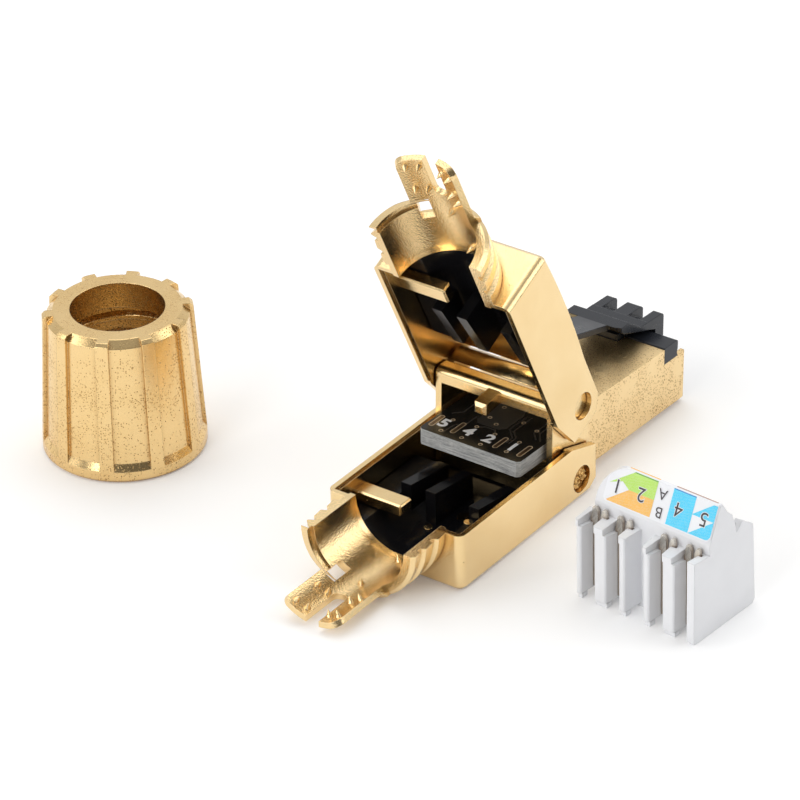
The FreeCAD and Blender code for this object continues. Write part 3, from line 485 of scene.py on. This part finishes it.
def place_piece(name, bm, place, mats, body="housing"):
    # The place goes into the mesh, so the object itself sits at the origin
    bmesh.ops.transform(bm, matrix=Matrix.Scale(MM, 4) @ place, verts=bm.verts)
    bmesh.ops.recalc_face_normals(bm, faces=bm.faces)
    mesh = bpy.data.meshes.new(name)
    bm.to_mesh(mesh)
    bm.free()
    for mat in mats:
        mesh.materials.append(mat)
    piece = bpy.data.objects.new(name, mesh)
    bpy.context.collection.objects.link(piece)
    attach(piece, body)


def raise_faces(bm, faces, height):
    # Lifts flat faces into a slab and gives back its top
    grown = bmesh.ops.extrude_face_region(bm, geom=faces)
    verts = [g for g in grown["geom"] if isinstance(g, bmesh.types.BMVert)]
    bmesh.ops.translate(bm, verts=verts, vec=(0, 0, height))
    return [g for g in grown["geom"] if isinstance(g, bmesh.types.BMFace)]


def glyph(name, text, size, place, mat, bold=0.0, widen=1.0):
    # One printed digit or letter as a thin raised shape
    data = bpy.data.curves.new(name + "_curve", "FONT")
    data.body = text
    data.size = size
    data.offset = bold
    data.extrude = 0.004
    data.resolution_u = 4
    data.align_x = "CENTER"
    data.align_y = "CENTER"
    words = bpy.data.objects.new(name + "_words", data)
    bpy.context.collection.objects.link(words)
    bpy.context.view_layer.update()
    ready = words.evaluated_get(bpy.context.evaluated_depsgraph_get())
    mesh = bpy.data.meshes.new_from_object(ready)
    bpy.data.objects.remove(words)
    bm = bmesh.new()
    bm.from_mesh(mesh)
    bpy.data.meshes.remove(mesh)
    bmesh.ops.remove_doubles(bm, verts=bm.verts, dist=0.0005)
    bmesh.ops.scale(bm, vec=(widen, 1, 1), verts=bm.verts)
    place_piece(name, bm, place, [mat])


def flat_patch(name, corners, thick, place, mat):
    # A thin plate with this outline
    bm = bmesh.new()
    ring = [bm.verts.new((x, y, 0)) for x, y in corners]
    raise_faces(bm, [bm.faces.new(ring)], thick)
    place_piece(name, bm, place, [mat])


def field(name, corners, mat, lift=0.006):
    # A flat patch of ink: corners as y along the block and drop from the fold
    corners = [(-y, -down) for y, down in corners]
    flat_patch(name, corners, 0.004, flap_place(0, 0, 0.0, lift), mat)


def board_ring(bm, x, y, half, radius, rim):
    # A thin island with a proud rim, drawn out by half its length each way; its middle takes the
    # first material, which paints the shade of a hole or slot
    disc = bmesh.ops.create_circle(bm, cap_ends=True, segments=28, radius=radius,
                                   matrix=Matrix.Translation((x, y, 0)))
    for vert in disc["verts"]:
        if half:
            vert.co.x += half if vert.co.x > x else -half
    top = raise_faces(bm, [disc["verts"][0].link_faces[0]], 0.014)
    band = bmesh.ops.inset_region(bm, faces=top, thickness=rim, depth=-0.006)
    for face in band["faces"]:
        face.material_index = 1


def board_run(bm, points, width):
    # A buried trace: straight lengths that meet at their corners
    for (x0, y0), (x1, y1) in zip(points, points[1:]):
        start, end = Vector((x0, y0, 0)), Vector((x1, y1, 0))
        along = end - start
        turn = Matrix.Rotation(math.atan2(along.y, along.x), 4, "Z")
        size = Matrix.Diagonal((along.length + width, width, 0.014, 1))
        place = Matrix.Translation((start + end) / 2) @ turn @ size
        bmesh.ops.create_cube(bm, size=1.0, matrix=place)


def make_board_print():
    for text, y in (("5", 4.15), ("4", 1.40), ("2", -0.85), ("1", -3.45)):
        glyph("board_digit_" + text, text, 1.95, board_place(-5.58, y), digit_white,
              bold=0.07, widen=1.05)
    # Each pad's dark bronze middle paints the shade of its plated slot, inside a pale rim
    pads = bmesh.new()
    for y in (4.98, 2.58, -2.11, -4.78):
        board_ring(pads, -5.55, y, 0.86, 0.27, 0.085)
    place_piece("board_pads", pads, over_board(0.001), [pad_bronze_slot_shade, pad_rim])
    # Each via's middle is a near-black disc of painted shade for its hole, inside a pale rim
    vias = bmesh.new()
    for x, y in ((-4.61, 3.82), (-4.39, 1.32), (-4.56, -0.82), (-4.49, -3.48), (-6.59, -3.48),
                 (-2.26, 1.33), (-2.97, 0.14), (-1.31, -1.78), (-1.85, -3.60), (0.05, 1.32),
                 (1.26, 1.25), (-6.85, 1.30), (-6.85, -0.80), (-6.85, 3.60)):
        board_ring(vias, x, y, 0.0, 0.22, 0.09)
    place_piece("board_vias", vias, over_board(0.004), [via_hole_shade, pad_rim])
    runs = bmesh.new()
    for points in (((-6.9, 3.3), (-5.2, 3.2), (-4.6, 2.4), (-2.9, 2.4)),
                   ((-4.4, 1.3), (-3.9, 0.6), (-3.9, -0.4), (-4.6, -0.8)),
                   ((-5.1, -2.8), (-4.0, -2.8), (-3.1, -1.9), (-0.2, -1.9)),
                   ((-5.1, -2.5), (-4.2, -2.5), (-3.0, -1.4), (-0.4, -1.4)),
                   ((-3.2, -4.4), (-2.3, -3.6), (1.0, -3.6)),
                   ((-3.2, -4.9), (-2.1, -4.1), (1.0, -4.1)),
                   ((-3.6, 4.6), (-2.8, 3.9), (0.5, 3.9))):
        board_run(runs, points, 0.16)
    place_piece("board_traces", runs, over_board(0.001), [trace_black])


def make_ground_patch():
    # The broad copper field under the varnish behind the digits
    corners = ((-3.7, 1.75), (-3.1, 2.15), (0.2, 2.15), (0.9, 1.6), (0.9, -0.6), (-0.3, -1.1),
               (-3.1, -1.1), (-3.7, -0.6))
    flat_patch("board_ground_field", corners, PATCH_THICK, over_board(0.001), field_varnish)


def make_label_print():
    field("label_green", ((4.87, 1.70), (2.59, 0.10), (-0.03, 0.10), (-0.03, 1.75), (2.72, 1.75),
                          (3.55, 1.22)), ink_green)
    field("label_green_fold", ((2.59, 0.10), (2.45, 0.0), (-0.03, 0.0), (-0.03, 0.10)), ink_deep)
    field("label_orange", ((4.80, 3.28), (2.72, 1.75), (-0.03, 1.75), (-0.03, 3.33),
                           (4.60, 3.33)), ink_orange)
    field("label_blue", ((-1.76, 0.10), (-4.18, 0.10), (-4.18, 3.33), (-1.76, 3.33)), ink_blue)
    field("label_blue_fold", ((-1.76, 0.0), (-4.18, 0.0), (-4.18, 0.10), (-1.76, 0.10)), ink_sea)
    field("label_blue_arrow", ((-4.20, 1.57), (-6.10, 0.12), (-6.53, 0.12), (-6.53, 2.95),
                               (-6.35, 3.24), (-6.05, 3.33), (-4.20, 3.33)), ink_blue)
    field("label_white_wedge", ((-4.20, 1.62), (-6.48, 1.62), (-4.20, 3.33)), label_sheet,
          lift=0.011)
    for text, y, down, size in (("1", 3.97, 1.74, 1.85), ("2", 1.35, 1.67, 1.85),
                                ("4", -2.72, 1.66, 1.85), ("5", -5.44, 1.60, 1.85),
                                ("A", -0.78, 0.92, 1.40), ("B", -0.86, 2.56, 1.40)):
        glyph("label_halo_" + text, text, size, flap_place(y, down, 180.0, 0.016),
              label_sheet, bold=0.055)
        glyph("label_glyph_" + text, text, size, flap_place(y, down, 180.0, 0.026),
              ink_grey)


def make_fold_lines():
    # The back half's colours show as thin lines along the top of the fold
    for name, y0, y1, mat in (("label_line_orange", 3.30, 0.0, ink_orange),
                              ("label_line_brown", -1.80, -6.30, ink_brown)):
        corners = ((-0.56, y1), (-0.42, y1), (-0.42, y0), (-0.56, y0))
        place = manager_place() @ Matrix.Translation((0, 0, LABEL_FOLD))
        flat_patch(name, corners, PATCH_THICK, place, mat)


def make_nut_thread():
    # One long ridge wound down the bore below the neck
    bm = bmesh.new()
    root, crest = NUT_BORE + 0.02, NUT_BORE - THREAD_RISE
    profile = ((root, 0.55), (crest, 0.18), (crest, -0.18), (root, -0.55))
    ring = [bm.verts.new((r, 0, z)) for r, z in profile]
    edges = [bm.edges.new((a, b)) for a, b in zip(ring, ring[1:] + ring[:1])]
    steps = int(56 * THREAD_TURNS)
    bmesh.ops.spin(bm, geom=ring + edges, cent=(0, 0, 0), axis=(0, 0, 1),
                   angle=math.radians(360 * THREAD_TURNS), steps=steps,
                   dvec=(0, 0, -THREAD_PITCH * THREAD_TURNS / steps))
    bmesh.ops.holes_fill(bm, edges=[e for e in bm.edges if e.is_boundary], sides=0)
    place_piece("nut_thread", bm, nut_place() @ Matrix.Translation((0, 0, THREAD_TOP)),
                [gold_nut])


def make_liner_tail():
    # The black sole runs on under the board to the back of the lower tray
    bm = bmesh.new()
    ring = [bm.verts.new((x, y, 0)) for x, y in ((-6.55, -6.55), (-3.05, -6.55), (-3.05, 6.55),
                                                 (-6.55, 6.55))]
    raise_faces(bm, [bm.faces.new(ring)], 0.14)
    edges = [e for e in bm.edges if min(v.co.z for v in e.verts) > 0.1]
    bmesh.ops.bevel(bm, geom=edges, offset=0.04, offset_type="OFFSET", segments=2, profile=0.5,
                    affect="EDGES", material=-1)
    place = lower_place() @ Matrix.Translation((0, 0, LID_FLOOR + 0.01))
    place_piece("lower_liner_tail", bm, place, [liner_black], "lower_shell")


def make_hinge_barrel():
    # The low round that closes the slot between the upper lid's foot and the head block
    bm = bmesh.new()
    bmesh.ops.create_circle(bm, cap_ends=True, segments=64, radius=BARREL_R)
    raise_faces(bm, bm.faces[:], 2 * BARREL_HALF)
    bmesh.ops.translate(bm, verts=bm.verts, vec=(0, 0, -BARREL_HALF))
    bmesh.ops.rotate(bm, verts=bm.verts, cent=(0, 0, 0),
                     matrix=Matrix.Rotation(math.radians(90), 3, "X"))
    geom = bm.verts[:] + bm.edges[:] + bm.faces[:]
    cut = bmesh.ops.bisect_plane(bm, geom=geom, plane_co=(0, 0, BARREL_CUT), plane_no=(0, 0, -1),
                                 clear_outer=True)
    rim = [g for g in cut["geom_cut"] if isinstance(g, bmesh.types.BMEdge)]
    bmesh.ops.holes_fill(bm, edges=rim, sides=0)
    for face in bm.faces:
        face.smooth = abs(face.normal.y) < 0.5 and face.normal.z > 0.0
    place = housing_place() @ Matrix.Translation((0, 0, HALF_SPACING))
    place_piece("hinge_barrel", bm, place, [gold_shell])


def make_rough_pin_end():
    # The end of the lower hinge pin is torn and rough, as if it had been broken off there
    bm = bmesh.new()
    bmesh.ops.create_circle(bm, cap_ends=True, segments=32, radius=PIN_R)
    top = raise_faces(bm, bm.faces[:], 0.05)
    for step in (0.22, 0.24, 0.26, 0.22):
        bmesh.ops.inset_region(bm, faces=top, thickness=step, depth=0.0)
    bmesh.ops.poke(bm, faces=top)
    for i, vert in enumerate(bm.verts):
        wave = math.sin(9.1 * vert.co.x + 2.0) * math.cos(11.3 * vert.co.y) + math.sin(5.7 * i)
        if vert.co.length < 1.2 and vert.co.z > 0.04:
            vert.co.z += 0.13 + 0.12 * wave
    turn = Matrix.Rotation(math.radians(90), 4, "X")
    place = Matrix.Translation(HINGE) @ Matrix.Translation((0, -PIN_END, 0)) @ turn
    place_piece("lower_pin_end", bm, place, [pin_torn])


make_liner_tail()
make_hinge_barrel()
make_rough_pin_end()
make_board_print()
make_ground_patch()
make_label_print()
make_fold_lines()
make_nut_thread()


# Floor, lights and camera

def make_floor():
    bm = bmesh.new()
    bmesh.ops.create_grid(bm, x_segments=1, y_segments=1, size=1.5)
    mesh = bpy.data.meshes.new("floor")
    bm.to_mesh(mesh)
    bm.free()
    floor = bpy.data.objects.new("floor", mesh)
    bpy.context.collection.objects.link(floor)
    mat, shader = new_material("floor_paper")
    tree = mat.node_tree
    place = add_node(tree, "ShaderNodeTexCoord").outputs["Object"]
    drift = noise(tree, place, 6.0, 2.0)
    shade = mix_colour(tree, drift, (0.93, 0.93, 0.93, 1), (0.95, 0.95, 0.95, 1))
    tree.links.new(shade, shader.inputs["Base Color"])
    shader.inputs["Roughness"].default_value = 0.9
    shader.inputs["Specular IOR Level"].default_value = 0.1
    shader.inputs["Emission Color"].default_value = (1.0, 1.0, 1.0, 1)
    shader.inputs["Emission Strength"].default_value = 0.12
    floor.data.materials.append(mat)


def soft_light(name, place, target, size, power):
    data = bpy.data.lights.new(name, "AREA")
    data.shape = "RECTANGLE"
    data.size, data.size_y = size
    data.energy = power
    light = bpy.data.objects.new(name, data)
    light.location = place
    aim = Vector(target) - Vector(place)
    light.rotation_euler = aim.to_track_quat("-Z", "Y").to_euler()
    bpy.context.collection.objects.link(light)


def make_world(near, far, ceiling):
    # Dim behind the camera, a paler wall behind the part and a soft ceiling
    world = bpy.data.worlds.new("studio")
    world.use_nodes = True
    tree = world.node_tree
    back = tree.nodes["Background"]
    way = add_node(tree, "ShaderNodeTexCoord").outputs["Generated"]
    forward = add_node(tree, "ShaderNodeVectorMath", operation="DOT_PRODUCT")
    tree.links.new(way, forward.inputs[0])
    forward.inputs[1].default_value = AWAY_FROM_CAMERA
    split = add_node(tree, "ShaderNodeSeparateXYZ")
    tree.links.new(way, split.inputs["Vector"])
    wall = map_range(tree, forward.outputs["Value"], -0.7, 0.8, near, far)
    roof = map_range(tree, split.outputs["Z"], 0.75, 1.0, 0.0, ceiling)
    level = math_node(tree, "ADD", wall, roof)
    tree.links.new(mix_colour(tree, level, (0, 0, 0, 1), (1, 1, 1, 1)), back.inputs["Color"])
    back.inputs["Strength"].default_value = 1.0
    bpy.context.scene.world = world


def make_camera():
    heading, tilt = math.radians(CAMERA_HEADING), math.radians(CAMERA_TILT)
    roll = math.radians(CAMERA_ROLL)
    forward = Vector((math.sin(heading) * math.cos(tilt), math.cos(heading) * math.cos(tilt),
                      -math.sin(tilt)))
    right = Vector((math.cos(heading), -math.sin(heading), 0))
    up = right.cross(forward)
    right_r = right * math.cos(roll) - up * math.sin(roll)
    up_r = right * math.sin(roll) + up * math.cos(roll)
    turn = Matrix((right_r, up_r, -forward)).transposed().to_4x4()
    data = bpy.data.cameras.new("camera")
    data.lens = CAMERA_LENS
    data.sensor_width = CAMERA_SENSOR
    data.clip_start = 0.01
    data.clip_end = 20.0
    camera = bpy.data.objects.new("camera", data)
    camera.matrix_world = Matrix.Translation(CAMERA_SPOT * MM) @ turn
    bpy.context.collection.objects.link(camera)
    bpy.context.scene.camera = camera


make_floor()
make_world(near=0.14, far=0.80, ceiling=0.35)
make_camera()
soft_light("left_box", (-0.42, 0.40, 0.32), target=(0, 0, 0.01), size=(0.40, 0.45), power=1.1)
soft_light("right_box", (0.30, -0.48, 0.32), target=(0, 0, 0.01), size=(0.40, 0.45), power=1.1)
soft_light("top_box", (0.18, 0.14, 0.60), target=(0, 0, 0.0), size=(0.55, 0.55), power=1.1)
soft_light("front_box", (-0.55, 0.0, 0.28), target=(0, 0, 0.01), size=(0.22, 0.30), power=1.0)
bpy.context.scene.view_settings.view_transform = "Standard"
